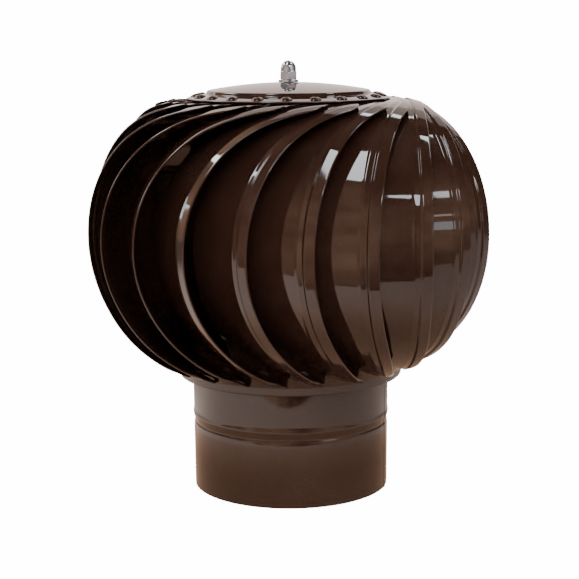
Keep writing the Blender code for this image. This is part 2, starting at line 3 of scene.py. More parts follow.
import bmesh
import bpy
import numpy as np
from mathutils import Matrix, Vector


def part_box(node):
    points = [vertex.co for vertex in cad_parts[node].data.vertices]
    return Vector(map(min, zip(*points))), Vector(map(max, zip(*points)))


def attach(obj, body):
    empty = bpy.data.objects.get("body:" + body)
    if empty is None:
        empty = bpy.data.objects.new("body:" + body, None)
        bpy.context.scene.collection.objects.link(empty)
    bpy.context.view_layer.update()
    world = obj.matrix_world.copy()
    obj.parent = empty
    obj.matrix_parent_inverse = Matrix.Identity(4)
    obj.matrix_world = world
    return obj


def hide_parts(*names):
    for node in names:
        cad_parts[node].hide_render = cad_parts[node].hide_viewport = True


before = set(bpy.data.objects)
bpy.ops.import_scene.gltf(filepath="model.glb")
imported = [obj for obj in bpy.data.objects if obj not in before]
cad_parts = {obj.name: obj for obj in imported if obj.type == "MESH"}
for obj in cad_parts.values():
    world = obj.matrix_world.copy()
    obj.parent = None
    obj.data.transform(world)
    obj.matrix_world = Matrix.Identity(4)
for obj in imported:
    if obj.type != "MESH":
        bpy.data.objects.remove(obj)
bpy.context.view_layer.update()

# Where it stands: a pale table whose front edge is a forearm away, in a white studio.
# Beyond that edge the floor is pale too, but too far down for the gloss to pick up.
mm = 0.001
table_front = -0.392
table_turn = math.radians(-4)
table_reach = 6.0
floor_drop = 0.001
table_white = (0.86, 0.86, 0.8471, 1)
white_shown = 15.0

# What the gloss sees of the table: its level across, from front to back and out from the
# collar, each as two places in metres and the levels there, and its tint out from the collar.
glow_across = (-0.4, 0.4, 1.55, 0.85)
glow_along = (0.10, 0.42, 1.0, 0.22)
glow_outward = (0.13, 0.28, 0.62, 1.15)
tint_outward = (0.13, 0.34, 0.0, 1.0)
shaded_tint = (1.0, 0.60, 0.40, 1)
open_tint = (1.0, 0.80, 0.70, 1)


def add_node(tree, kind, inputs, **settings):
    """A new node with its settings made, and each input set to a value or linked to a socket."""
    node = tree.nodes.new(kind)
    for name, value in settings.items():
        setattr(node, name, value)
    for key, value in inputs.items():
        if isinstance(value, bpy.types.NodeSocket):
            tree.links.new(value, node.inputs[key])
        else:
            node.inputs[key].default_value = value
    return node


def emptied(owner):
    """The node tree of a new material or world, turned on and empty."""
    owner.use_nodes = True
    owner.node_tree.nodes.clear()
    return owner.node_tree


def ranged(tree, value, low, high, to_low, to_high, curve="LINEAR"):
    """A value taken from low..high to to_low..to_high."""
    node = add_node(tree, "ShaderNodeMapRange",
                    {"Value": value, "From Min": low, "From Max": high, "To Min": to_low,
                     "To Max": to_high}, interpolation_type=curve)
    return node.outputs["Result"]


def combined(tree, operation, first, second):
    """Two values added, multiplied or the like."""
    node = add_node(tree, "ShaderNodeMath", {0: first, 1: second}, operation=operation)
    return node.outputs[0]


def blended(tree, kind, factor, first, second):
    """Two colours blended by a factor."""
    node = add_node(tree, "ShaderNodeMix", {"Factor": factor, "A": first, "B": second},
                    data_type="RGBA", blend_type=kind)
    return node.outputs["Result"]


def noise(tree, place, scale, detail):
    """Soft noise about 0.5 over a place."""
    node = add_node(tree, "ShaderNodeTexNoise",
                    {"Vector": place, "Scale": scale, "Detail": detail})
    return node.outputs["Fac"]


def chosen(tree, test, otherwise, shader):
    """The second shader where a light path test holds, and the first elsewhere."""
    node = add_node(tree, "ShaderNodeMixShader", {"Fac": test, 1: otherwise, 2: shader})
    return node.outputs[0]


def stage_panel(name, corners, material):
    """A flat four-cornered panel of the studio, which is no part of the object."""
    mesh = bpy.data.meshes.new(name)
    mesh.from_pydata(corners, [], [(0, 1, 2, 3)])
    mesh.materials.append(material)
    panel = bpy.data.objects.new(name, mesh)
    bpy.context.scene.collection.objects.link(panel)
    return panel


def table_paint(name):
    """Matt white that stays white to the camera, and shows the gloss its own even light.

    The gloss sees a table that is brighter on the left and dims behind the object. It turns
    browner and dimmer close round the collar, where the head's shade falls.
    """
    material = bpy.data.materials.new(name)
    tree = emptied(material)
    place = add_node(tree, "ShaderNodeTexCoord", {}).outputs["Object"]
    axes = add_node(tree, "ShaderNodeSeparateXYZ", {0: place}).outputs
    outward = add_node(tree, "ShaderNodeVectorMath", {0: place},
                       operation="LENGTH").outputs["Value"]
    level = combined(tree, "MULTIPLY", ranged(tree, axes["X"], *glow_across, "SMOOTHSTEP"),
                     ranged(tree, axes["Y"], *glow_along, "SMOOTHSTEP"))
    level = combined(tree, "MULTIPLY", level,
                     ranged(tree, outward, *glow_outward, "SMOOTHSTEP"))
    tint = blended(tree, "MIX", ranged(tree, outward, *tint_outward, "SMOOTHSTEP"),
                   shaded_tint, open_tint)
    matt = add_node(tree, "ShaderNodeBsdfDiffuse", {"Color": table_white}).outputs[0]
    mirrored = add_node(tree, "ShaderNodeEmission", {"Color": tint, "Strength": level}).outputs[0]
    white = add_node(tree, "ShaderNodeEmission", {"Strength": white_shown}).outputs[0]
    seen = add_node(tree, "ShaderNodeLightPath", {}).outputs
    lit = chosen(tree, seen["Is Glossy Ray"], matt, mirrored)
    add_node(tree, "ShaderNodeOutputMaterial",
             {"Surface": chosen(tree, seen["Is Camera Ray"], lit, white)})
    return material


pale = table_paint("studio_white")
slant = math.tan(table_turn) * table_reach
front_left = (-table_reach, table_front - slant, 0.0)
front_right = (table_reach, table_front + slant, 0.0)
stage_panel("table_top", [front_left, front_right, (table_reach, table_reach, 0.0),
                          (-table_reach, table_reach, 0.0)], pale)
floor = stage_panel("floor_in_front", [(-table_reach, -table_reach, -floor_drop),
                                       (table_reach, -table_reach, -floor_drop),
                                       front_right, front_left], pale)
floor.visible_glossy = False

# The studio's light: a room of brown shelves, and the tall windows, strip lamps and back wall
# that the gloss shows as hard-edged patches. Soft boxes in front and overhead do the rest.
# Each lobe of the room is a bearing, a rise, the cosine of its half width and its level.
studio_centre = np.array([0.0, 0.0, 0.2])
room_colour = (1.0, 0.62, 0.43, 1)
room_level = 0.17
room_lobes = [(-38, 8, 0.55, 1.0), (54, 12, 0.70, 0.75), (-128, 22, 0.72, 0.9)]
mottle_scale, mottle_detail = 3.5, 3.0
mottle_range = (0.35, 0.65, 0.55, 1.35)
panel_distance = 3.0
cool = (0.93, 0.97, 1.0)
warm = (1.0, 0.82, 0.76)


def direction(bearing, rise):
    """The unit vector at a bearing round from -Y towards +X, and a rise above the horizon."""
    turn, lift = math.radians(bearing), math.radians(rise)
    return np.array([math.sin(turn) * math.cos(lift), -math.cos(turn) * math.cos(lift),
                     math.sin(lift)])


def studio_world():
    """A dim mottled room, brighter about some bearings, and white where the camera looks."""
    world = bpy.data.worlds.new("studio")
    bpy.context.scene.world = world
    tree = emptied(world)
    place = add_node(tree, "ShaderNodeTexCoord", {}).outputs["Generated"]
    level = room_level
    for bearing, rise, edge, peak in room_lobes:
        facing = add_node(tree, "ShaderNodeVectorMath",
                          {0: place, 1: tuple(direction(bearing, rise))},
                          operation="DOT_PRODUCT").outputs["Value"]
        level = combined(tree, "ADD", ranged(tree, facing, edge, 1.0, 0.0, peak, "SMOOTHSTEP"),
                         level)
    mottle = ranged(tree, noise(tree, place, mottle_scale, mottle_detail), *mottle_range)
    mottled = combined(tree, "MULTIPLY", level, mottle)
    room = add_node(tree, "ShaderNodeBackground", {"Color": room_colour, "Strength": mottled})
    white = add_node(tree, "ShaderNodeBackground",
                     {"Color": (1, 1, 1, 1), "Strength": white_shown})
    seen = add_node(tree, "ShaderNodeLightPath", {}).outputs["Is Camera Ray"]
    add_node(tree, "ShaderNodeOutputWorld",
             {"Surface": chosen(tree, seen, room.outputs[0], white.outputs[0])})


def lamp_panel(name, corners, strength, tint=cool):
    """A glowing panel between four bearings and rises, which only the gloss can see."""
    glow = bpy.data.materials.new(name)
    tree = emptied(glow)
    emission = add_node(tree, "ShaderNodeEmission", {"Color": (*tint, 1), "Strength": strength})
    add_node(tree, "ShaderNodeOutputMaterial", {"Surface": emission.outputs[0]})
    places = [tuple(studio_centre + direction(*corner) * panel_distance) for corner in corners]
    panel = stage_panel(name, places, glow)
    panel.visible_camera = False
    panel.visible_diffuse = False


def soft_box(name, bearing, rise, distance, size, power):
    """A square area light that points at the middle of the head."""
    light = bpy.data.lights.new(name, "AREA")
    light.size = size
    light.energy = power
    lamp = bpy.data.objects.new(name, light)
    bpy.context.scene.collection.objects.link(lamp)
    lamp.location = studio_centre + direction(bearing, rise) * distance
    lamp.rotation_euler = (math.radians(90 - rise), 0.0, math.radians(bearing))
    lamp.visible_glossy = False


studio_world()
lamp_panel("back_wall", [(135, 3), (225, 3), (225, 25), (135, 25)], 1.75, warm)
lamp_panel("back_wall_top", [(140, 25), (220, 25), (220, 39), (140, 39)], 1.0, warm)
lamp_panel("back_window", [(157, 42), (173, 42), (173, 49), (157, 49)], 9)
lamp_panel("skylight", [(-46, 57), (-31, 55), (-50, 81), (-96, 78)], 14)
lamp_panel("window_left", [(-96, 37), (-130, 36), (-130, 46), (-96, 46)], 16)
lamp_panel("lamp_left", [(-112, 7), (-134, 11), (-134, 22), (-112, 16)], 8.0)
lamp_panel("window_back_left", [(-145, 20), (-159, 23), (-159, 33), (-145, 30)], 12.0)
lamp_panel("window_front", [(8, 38.5), (34, 27), (36.5, 37), (8, 40.5)], 12)
lamp_panel("window_right", [(47, 30), (56, 30), (56, 35), (47, 35)], 10)
lamp_panel("window_far_right", [(86, 53), (126, 57), (126, 63), (86, 59)], 14)
lamp_panel("lamp_right", [(36, 5), (54, 4), (54, 10.5), (36, 11)], 3.2)
lamp_panel("strip_lamp", [(38, 15.3), (52, 15.0), (52, 16.6), (38, 16.8)], 4, warm)
soft_box("key_softbox", 4, 32, 1.6, 1.0, 22)
soft_box("overhead_softbox", -20, 78, 1.5, 1.0, 9)

# The camera: a long lens a little above the middle of the head, tilted down to the collar.
camera_distance = 1.228
camera_rise = 10.2
camera_roll = -0.4
camera_lens = 93.3
camera_shift = -0.0007
aim_height = 160.7 * mm
view_data = bpy.data.cameras.new("camera")
view_data.lens = camera_lens
view_data.shift_x = camera_shift
camera = bpy.data.objects.new("camera", view_data)
bpy.context.scene.collection.objects.link(camera)
seat = np.array([0.0, 0.0, aim_height]) + direction(0, camera_rise) * camera_distance
camera.matrix_world = (Matrix.Translation(seat)
                       @ Matrix.Rotation(math.radians(90 - camera_rise), 4, "X")
                       @ Matrix.Rotation(math.radians(camera_roll), 4, "Z"))
bpy.context.scene.camera = camera

# The duct collar: 1 mm steel sheet rolled into a tube, lapped and welded up one side, with a
# bead and a groove below it that stop the duct. It is powder coated in gloss chocolate brown.
collar_sheet = 1.0 * mm
collar_corner = 1.4 * mm
neck_radius = 80.1 * mm
bead_radius, bead_height = 80.7 * mm, 61.0 * mm
bead_shoulder_rise, bead_fade_rise, bead_shoulder_proud = 2.5 * mm, 4 * mm, 0.15 * mm
groove_radius, groove_height = 79.1 * mm, 55.0 * mm
groove_foot_radius, groove_foot_drop = 79.7 * mm, 1.5 * mm
spigot_radius, spigot_drop = 80.0 * mm, 5 * mm
collar_rim_radius = 79.75 * mm
seam_bearing = math.radians(-90 + 73)
seam_width = 5.0 * mm
lap_rise, lap_start, lap_end = 0.35 * mm, 0.008, 0.004
climb_rise, climb_start = 0.25 * mm, 0.5
weld_height = 76.0 * mm
weld_turns = np.radians([-103, 17, 137])
weld_depth, weld_spread = 0.12 * mm, 2.4 * mm
fade_colour = (0.040, 0.017, 0.011, 1)
dust_colour = (0.25, 0.20, 0.17, 1)
speck_colour = (0.10, 0.065, 0.05, 1)


def skin_group(name, inputs):
    """A node group with some inputs, and with Colour, Roughness and Height as its outputs."""
    group = bpy.data.node_groups.new(name, "ShaderNodeTree")
    outputs = (("Colour", "Color"), ("Roughness", "Float"), ("Height", "Float"))
    for side, sockets in (("INPUT", inputs), ("OUTPUT", outputs)):
        for socket, kind in sockets:
            group.interface.new_socket(socket, in_out=side, socket_type="NodeSocket" + kind)
    return group


def paint_skin():
    """The look of powder coat: long waves, fine peel, pinhead specks and a film of dust.

    Height is slow noise plus finer noise; Roughness rises with dust; Colour is lifted a little
    by broad noise, and leans to the dust's and the specks' colours by finer noise.
    """
    group = skin_group("paint_skin", (("Colour", "Color"), ("Dust", "Float"), ("Gloss", "Float")))
    given = add_node(group, "NodeGroupInput", {}).outputs
    place = add_node(group, "ShaderNodeTexCoord", {}).outputs["Object"]
    fade = ranged(group, noise(group, place, 9, 2), 0.3, 0.7, 0.0, 0.22)
    film = ranged(group, noise(group, place, 38, 6), 0.46, 0.72, 0.0, 1.0)
    film = combined(group, "MULTIPLY", film, given["Dust"])
    specks = ranged(group, noise(group, place, 900, 1), 0.74, 0.80, 0.0, 0.5)
    tone = blended(group, "MIX", fade, given["Colour"], fade_colour)
    tone = blended(group, "MIX", film, tone, dust_colour)
    tone = blended(group, "MIX", specks, tone, speck_colour)
    rough = ranged(group, noise(group, place, 60, 4), 0.35, 0.7, 0.0, 0.03)
    rough = combined(group, "ADD", combined(group, "ADD", rough, given["Gloss"]), film)
    peel = ranged(group, noise(group, place, 330, 2), 0.0, 1.0, 0.0, 0.22)
    waves = combined(group, "ADD", noise(group, place, 55, 1), peel)
    add_node(group, "NodeGroupOutput", {"Colour": tone, "Roughness": rough, "Height": waves})
    return group


def skinned(name, group, look, relief, shader_input, amount):
    """A material whose plain shader takes its colour, roughness and relief from a group."""
    material = bpy.data.materials.new(name)
    material.use_nodes = True
    tree = material.node_tree
    skin_look = add_node(tree, "ShaderNodeGroup", look, node_tree=group).outputs
    bump = add_node(tree, "ShaderNodeBump", {"Strength": 1.0, "Distance": relief,
                                             "Height": skin_look["Height"]})
    shader = tree.nodes["Principled BSDF"]
    shader.inputs[shader_input].default_value = amount
    tree.links.new(skin_look["Colour"], shader.inputs["Base Color"])
    tree.links.new(skin_look["Roughness"], shader.inputs["Roughness"])
    tree.links.new(bump.outputs["Normal"], shader.inputs["Normal"])
    return material


chocolate = skinned("chocolate_gloss", paint_skin(),
                    {"Colour": (0.019, 0.0088, 0.0060, 1), "Gloss": 0.03, "Dust": 0.022},
                    0.003 * mm, "Specular IOR Level", 0.6)


def skin(name, points, around=False, closed=False):
    """A mesh on one or more grids of points: each cell is a face whose outside is rows x columns.

    around joins the last row to the first, closed the last column to the first.
    """
    points = points if points.ndim == 4 else points[None]
    copies, rows, columns = points.shape[:3]
    i, j = np.meshgrid(np.arange(rows - (not around)), np.arange(columns - (not closed)),
                       indexing="ij")
    below, beside = (i + 1) % rows, (j + 1) % columns
    cells = np.stack([i * columns + j, below * columns + j, below * columns + beside,
                      i * columns + beside], axis=-1).reshape(-1, 4)
    cells = (cells[None] + np.arange(copies)[:, None, None] * rows * columns).reshape(-1, 4)
    mesh = bpy.data.meshes.new(name)
    mesh.from_pydata(points.reshape(-1, 3).tolist(), [], cells.tolist())
    return mesh


def finished(name, mesh, body, material, stands_for=(), crease=40):
    """Welds the mesh's doubles, shades it smooth but for its creases, and fits it to a body."""
    shape = bmesh.new()
    shape.from_mesh(mesh)
    bmesh.ops.remove_doubles(shape, verts=shape.verts, dist=0.0005 * mm)
    shape.to_mesh(mesh)
    shape.free()
    mesh.shade_smooth()
    mesh.set_sharp_from_angle(angle=math.radians(crease))
    mesh.materials.append(material)
    piece = bpy.data.objects.new(name, mesh)
    bpy.context.scene.collection.objects.link(piece)
    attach(piece, body)
    if stands_for:
        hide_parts(*stands_for)


def rounded(line, radius):
    """A line with each corner drawn as a parabola arc that starts and ends a radius away."""
    line = np.array(line, float)
    share = np.linspace(0, 1, 6)[:, None]
    out = [line[:1]]
    for before, corner, after in zip(line[:-2], line[1:-1], line[2:]):
        back, on = before - corner, after - corner
        reach_back = min(radius, np.linalg.norm(back) * 0.45)
        reach_on = min(radius, np.linalg.norm(on) * 0.45)
        start = corner + back / np.linalg.norm(back) * reach_back
        end = corner + on / np.linalg.norm(on) * reach_on
        out.append((1 - share) ** 2 * start + 2 * share * (1 - share) * corner + share ** 2 * end)
    return np.vstack(out + [line[-1:]])


def spaced(line, step):
    """The same line with points no further apart than a step."""
    runs = np.linalg.norm(np.diff(line, axis=0), axis=1)
    counts = np.maximum(np.ceil(runs / step).astype(int), 1)
    parts = [a + (b - a) * np.arange(n)[:, None] / n for a, b, n in zip(line, line[1:], counts)]
    return np.vstack(parts + [line[-1:]])


def bent_sheet(line, sheet):
    """The closed section of sheet whose outer side is a line, with half-round cut edges."""
    runs = np.gradient(line, axis=0)
    runs /= np.linalg.norm(runs, axis=1)[:, None]
    normals = np.stack([-runs[:, 1], runs[:, 0]], axis=1)
    inside = line - sheet * normals
    turn = np.linspace(0, math.pi, 7)[1:-1, None]
    last = (line[-1] + inside[-1]) / 2 + sheet / 2 * (np.cos(turn) * normals[-1]
                                                      + np.sin(turn) * runs[-1])
    first = (line[0] + inside[0]) / 2 - sheet / 2 * (np.cos(turn) * normals[0]
                                                     + np.sin(turn) * runs[0])
    return np.vstack([line, last, inside[::-1], first])


def swept_round(section, sides):
    """Radius and turn over a section's points and a full circle from -Y, as two grids."""
    turn = -math.pi / 2 + 2 * math.pi * np.arange(sides) / sides
    return section[:, :1] + 0 * turn, turn[None] + 0 * section[:, :1]


def on_circle(radius, turn, height):
    """Points from radius, turn about Z and height."""
    return np.stack([radius * np.cos(turn), radius * np.sin(turn), height + 0 * turn], axis=-1)


def soft_step(low, high, value):
    """0 below low, 1 above high, and an even S between."""
    share = np.clip((value - low) / (high - low), 0.0, 1.0)
    return share * share * (3 - 2 * share)


def turned_sheet(name, section, sides, body, material, stands_for, crease=40):
    """A closed section of radius and height, turned about Z into a piece."""
    radius, turn = swept_round(section, sides)
    finished(name, skin(name, on_circle(radius, turn, section[:, 1:]), around=True, closed=True),
             body, material, stands_for, crease)


collar_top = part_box("duct_collar")[1].z
collar_line = [(neck_radius, collar_top), (neck_radius, bead_height + bead_fade_rise),
               (neck_radius + bead_shoulder_proud, bead_height + bead_shoulder_rise),
               (bead_radius, bead_height), (groove_radius, groove_height),
               (groove_foot_radius, groove_height - groove_foot_drop),
               (spigot_radius, groove_height - spigot_drop), (collar_rim_radius, 0.0)]
section = bent_sheet(spaced(rounded(collar_line, collar_corner), 2 * mm), collar_sheet)
radius, turn = swept_round(section, 420)
height = section[:, 1:]
half_seam = seam_width / neck_radius / 2
from_seam = (turn - seam_bearing + math.pi) % (2 * math.pi) - math.pi
lap = (soft_step(-half_seam - lap_start, -half_seam, from_seam)
       - soft_step(half_seam - lap_end, half_seam, from_seam))
climb = soft_step(-climb_start, -half_seam, from_seam) * (from_seam < half_seam)
radius = radius + lap_rise * lap + climb_rise * climb
for weld in weld_turns:
    across = ((turn - weld + math.pi) % (2 * math.pi) - math.pi) * neck_radius
    spot = np.exp(-((across ** 2 + (height - weld_height) ** 2) / weld_spread ** 2))
    radius = radius - weld_depth * spot
finished("duct_collar_sheet", skin("duct_collar_sheet", on_circle(radius, turn, height),
                                   around=True, closed=True),
         "base", chocolate, ["duct_collar"])

# The spider and the bearing housing: three bent bars, welded to the collar and to a short tube
# that holds two sealed ball bearings, each kept in by a circlip.


def metal_skin():
    """The look of plated or ground metal: broad clouding and fine scratches along the turn.

    Colour is darkened by clouds, Roughness rises in the scratches, Height is the scratches.
    """
    group = skin_group("metal_skin", (("Colour", "Color"), ("Polish", "Float")))
    given = add_node(group, "NodeGroupInput", {}).outputs
    place = add_node(group, "ShaderNodeTexCoord", {}).outputs["Object"]
    stretched = add_node(group, "ShaderNodeMapping", {"Vector": place, "Scale": (1.0, 1.0, 14.0)})
    scratches = noise(group, stretched.outputs["Vector"], 420, 4)
    tone = blended(group, "MULTIPLY", 0.35, given["Colour"], noise(group, place, 160, 3))
    rough = add_node(group, "ShaderNodeMath", {0: scratches, 1: 0.16, 2: given["Polish"]},
                     operation="MULTIPLY_ADD").outputs[0]
    add_node(group, "NodeGroupOutput", {"Colour": tone, "Roughness": rough, "Height": scratches})
    return group


metal_group = metal_skin()


def plated(name, colour, polish, scratch):
    """A bare or plated metal finish: the metal_skin group with its own polish and scratches."""
    return skinned(name, metal_group, {"Colour": (*colour, 1), "Polish": polish}, scratch,
                   "Metallic", 1.0)


grey_zinc = plated("grey_zinc", (0.52, 0.58, 0.66), 0.24, 0.006 * mm)
ground_steel = plated("ground_steel", (0.66, 0.67, 0.69), 0.10, 0.002 * mm)
blued_steel = plated("blued_steel", (0.17, 0.17, 0.19), 0.28, 0.003 * mm)


def dressed(material, *nodes):
    """Gives CAD nodes that show as they are their own finish."""
    for node in nodes:
        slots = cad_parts[node].data.materials
        slots.clear()
        slots.append(material)


dressed(chocolate, "spider_arm_1", "spider_arm_2", "spider_arm_3")
dressed(grey_zinc, "bearing_housing")
for side in ("lower", "upper"):
    dressed(blued_steel, side + "_circlip")
    for part in ("inner_ring", "outer_ring", "upper_shield", "lower_shield", "ball_cage"):
        dressed(ground_steel, "%s_bearing_%s" % (side, part))

# The shaft and what is threaded on it: an M8 shaft, locked under the lower bearing and over the
# upper one, with a nut and a wide washer under the disc. All of it is zinc plated.
bright_zinc = plated("bright_zinc", (0.56, 0.74, 0.98), 0.05, 0.002 * mm)
dressed(grey_zinc, "drive_shaft", "bearing_spacer")
dressed(bright_zinc, "support_nut", "wide_washer", "bearing_lock_nut", "thrust_washer",
        "end_washer", "end_lock_nut")

# The lower ring: 1 mm sheet spun to a lip over the collar, an upright skirt and, above the
# fold, a flared band for the blades' lower ends. It is painted like the rest.
ring_sheet = 1.0 * mm
ring_corner = 1.1 * mm
skirt_height, band_flare = 9.4 * mm, 8.4 * mm
lip_inset, lip_rise = 0.6 * mm, 2.4 * mm
lip_turned_in, lip_edge_rise = 8.0 * mm, 0.9 * mm
ring_low, ring_high = (corner.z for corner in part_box("lower_ring"))
band_top_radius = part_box("lower_ring")[1].x
fold_height = ring_low + skirt_height
fold_radius = band_top_radius - band_flare
band_height = ring_high - fold_height
lip_radius = fold_radius - lip_inset
ring_line = [(band_top_radius, ring_high), (fold_radius, fold_height),
             (lip_radius, ring_low + lip_rise),
             (lip_radius - lip_turned_in, ring_low + lip_edge_rise)]
section = bent_sheet(spaced(rounded(ring_line, ring_corner), 3 * mm), ring_sheet)
turned_sheet("lower_ring_sheet", section, 240, "rotor", chocolate, ["lower_ring"])

# The blades: 0.8 mm sheet cut to a strip, bent lengthwise, with a groove rolled in beside the
# outer edge and that edge folded back on itself. Each is riveted to the ring and the disc.
blade_count = 21
first_turn = math.radians(-101.1)
set_angle = math.radians(40)
head_radius = 163.2 * mm
head_middle = 209.0 * mm
upper_height, upper_power = 107.0 * mm, 2.1
lower_height, lower_power = 113.0 * mm, 1.97
blade_sheet = 0.8 * mm
blade_width = 63.0 * mm
hem_width, hem_run, hem_extra = 5.0 * mm, 0.8 * mm, 0.7 * mm
rolled_width = 17.0 * mm
edge_offset = head_radius * math.sin(set_angle)
blade_reach = head_radius * math.cos(set_angle)
inner_offset = edge_offset - blade_width
end_height = fold_height + 0.9 * mm
disc_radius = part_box("top_disc")[1].x
rim_width, rim_fall = 12.5 * mm, 2.6 * mm
rim_slope = rim_fall / rim_width

# The upper end: a tab that reaches nearest to the axis, a slant on each side of it, and round
# corners. The lower end: how far its cut lies over the fold, by the distance from the edge.
tab_offset = disc_radius - 6 * mm
tab_inner, tab_outer, tab_reach = 9 * mm, 10.5 * mm, 2 * mm
slant_inner, slant_outer = 10 * mm, 15 * mm
corner_radius = 8 * mm
feet_places = np.array([0, 2, 5, 12, 16, 24, 40, 52, 58, 63]) * mm
feet_rises = np.array([4.6, 2.0, 1.0, 0.3, 1.2, 3.0, 2.2, 0.8, 0.3, 2.5]) * mm
feet_ease = 1.0 * mm

# The strip's shape across: how proud it is by the distance from its edge, with the bent outer
# strip, the step and the bead, and then a low crown. Near the ring the outer edge swings in.
groove_places = np.array([0, 8.3, 9.6, 14, 16, 63]) * mm
groove_rises = np.array([-0.3, 1.6, 0.6, 1.4, 1.2, 1.0]) * mm
groove_ease = 0.45 * mm
crown_rise, crown_start, crown_width = 0.5 * mm, 14 * mm, 49 * mm
end_sink, top_sink = 1.1 * mm, 0.6 * mm
swing_rise, swing_in, swing_power = 34 * mm, 6 * mm, 2.6

# The seat on the ring: the sheet clears the band a little, and its outer part lies over the
# next blade. The hold of the band fades out above the ring.
seat_clearance = 0.15 * mm
overlap_rise, overlap_start, overlap_full = 1.9 * mm, 45, 50
hold_full, hold_gone = 9 * mm, 26 * mm
under_disc_full, under_disc_gone = 10 * mm, 24 * mm


def strip_section(bend):
    """The blade's bent line: a superellipse, its reach and height at an angle from the middle."""
    power = np.where(bend > 0, upper_power, lower_power)
    half = np.where(bend > 0, upper_height, lower_height)
    reach = blade_reach * np.maximum(np.cos(bend), 0.0) ** (2 / power)
    height = head_middle + np.sign(bend) * half * np.abs(np.sin(bend)) ** (2 / power)
    return reach, height


def eased(value, knots, heights, ease):
    """Straight runs between knots, averaged over a width so that their corners are round."""
    spread = np.linspace(-ease, ease, 9)
    return np.mean([np.interp(value + shift, knots, heights) for shift in spread], axis=0)


def corner_cut(from_side):
    """How much a round corner takes off a cut end, by the distance from the strip's side."""
    share = np.clip(1 - from_side / corner_radius, 0, 1)
    return corner_radius * (1 - np.sqrt(1 - share ** 2))


def top_bend(offset):
    """The bend at which the strip's upper end is cut: a tab, two slants and round corners."""
    inner_start, outer_start = tab_offset - tab_inner, tab_offset + tab_outer
    inner = np.maximum(inner_start - offset, 0) / (inner_start - inner_offset)
    outer = np.maximum(offset - outer_start, 0) / (edge_offset - outer_start)
    reach = tab_reach + slant_inner * inner + slant_outer * outer
    reach = reach + corner_cut(edge_offset - offset) + corner_cut(offset - inner_offset)
    return np.arccos((reach / blade_reach) ** (upper_power / 2))


def bend_at(height):
    """The bend at which the strip's lower half is at a height."""
    return -np.arcsin(((head_middle - height) / lower_height) ** (lower_power / 2))


def bottom_bend(from_edge):
    """The bend at which the lower end is cut: two feet on the ring with an arch between."""
    return bend_at(end_height + eased(from_edge, feet_places, feet_rises, feet_ease))


def blade_surface():
    """The outer side of a blade whose rulings run along +Y, and each column's place on it.

    Rows run down the bend between the two cut ends; columns run from the inner edge to the
    outer. The outer edge swings in towards the ring, and the lower end is pushed out to lie
    on the ring's band, its outer part over the next blade.
    """
    fine = np.array([0.0, 0.05, 0.15, 0.3, 0.6])
    from_edge = np.concatenate([
        blade_width - fine * mm, np.linspace(blade_width - 1.5 * mm, 19 * mm, 18),
        np.linspace(18 * mm, 1 * mm, 35), fine[::-1] * mm])
    ends = np.array([0.0, 0.0002, 0.0006, 0.0014])
    rows = np.concatenate([ends, np.linspace(0.005, 0.995, 118), 1 - ends[::-1]])[:, None]
    nominal = strip_section((1 - rows) * math.radians(86) + rows * bend_at(end_height))[1]
    swing = np.clip((end_height + swing_rise - nominal) / swing_rise, 0, 1) ** swing_power
    outer = edge_offset - swing_in * swing
    main = (outer - rolled_width - inner_offset) * (blade_width - from_edge) / (
        blade_width - rolled_width)
    offset = np.where(from_edge < rolled_width, outer - from_edge, inner_offset + main)
    bend = (1 - rows) * top_bend(edge_offset - from_edge) + rows * bottom_bend(from_edge)
    reach, height = strip_section(bend)
    proud = eased(from_edge, groove_places, groove_rises, groove_ease)
    across = np.clip((from_edge - crown_start) / crown_width, 0, 1)
    proud = proud + crown_rise * np.sin(math.pi * across)
    open_run = soft_step(0.0, 0.25, rows) * (1 - soft_step(0.955, 0.99, rows))
    sunk = end_sink * (1 - open_run) + top_sink * (1 - soft_step(0, 0.3, rows))
    reach = reach + (proud - sunk) * np.cos(bend)
    height = height + (proud - sunk) * np.sin(bend)
    radius = np.hypot(reach, offset)
    angle = np.degrees(np.arctan2(offset, reach))
    band = fold_radius + band_flare * (height - fold_height) / band_height
    seat_out = blade_sheet + seat_clearance + overlap_rise * soft_step(overlap_start,
                                                                       overlap_full, angle)
    hold = 1 - soft_step(ring_high + hold_full, ring_high + hold_gone, height)
    pushed = radius + hold * np.maximum(band + seat_out - radius, 0)
    reach, offset = reach * pushed / radius, offset * pushed / radius
    under_rim = np.maximum(disc_radius - np.hypot(reach, offset), 0) * rim_slope
    height = height + under_rim * (1 - soft_step(under_disc_full, under_disc_gone, reach))
    return np.stack([reach, offset, height], axis=-1), from_edge[None] + 0 * rows, rows


def blade_sides():
    """Both sides of the sheet: the outer one, and one a thickness below it along the normal.

    The thickness closes to nothing in a half circle at every cut edge, and grows in the hem.
    """
    outer, from_edge, rows = blade_surface()
    normal = np.cross(np.gradient(outer, axis=0), np.gradient(outer, axis=1))
    normal /= np.linalg.norm(normal, axis=-1, keepdims=True)
    hem = hem_extra * (1 - soft_step(hem_width, hem_width + hem_run, from_edge))
    hem = hem * soft_step(0.0, 0.02, rows) * (1 - soft_step(0.97, 1.0, rows))
    full = blade_sheet + hem
    strip_length = 330 * mm
    along = np.minimum(rows, 1 - rows) * strip_length
    edge = np.minimum(np.minimum(from_edge, blade_width - from_edge), along)
    closing = np.sqrt(1 - np.clip(1 - edge / (full / 2), 0, 1) ** 2)
    thick = (full * closing)[..., None]
    full = full[..., None]
    return outer - normal * (full - thick) / 2, outer - normal * (full + thick) / 2


def turned_to(points, angle):
    """Points turned about Z by an angle."""
    cosine, sine = math.cos(angle), math.sin(angle)
    return points @ np.array([[cosine, sine, 0], [-sine, cosine, 0], [0, 0, 1]])


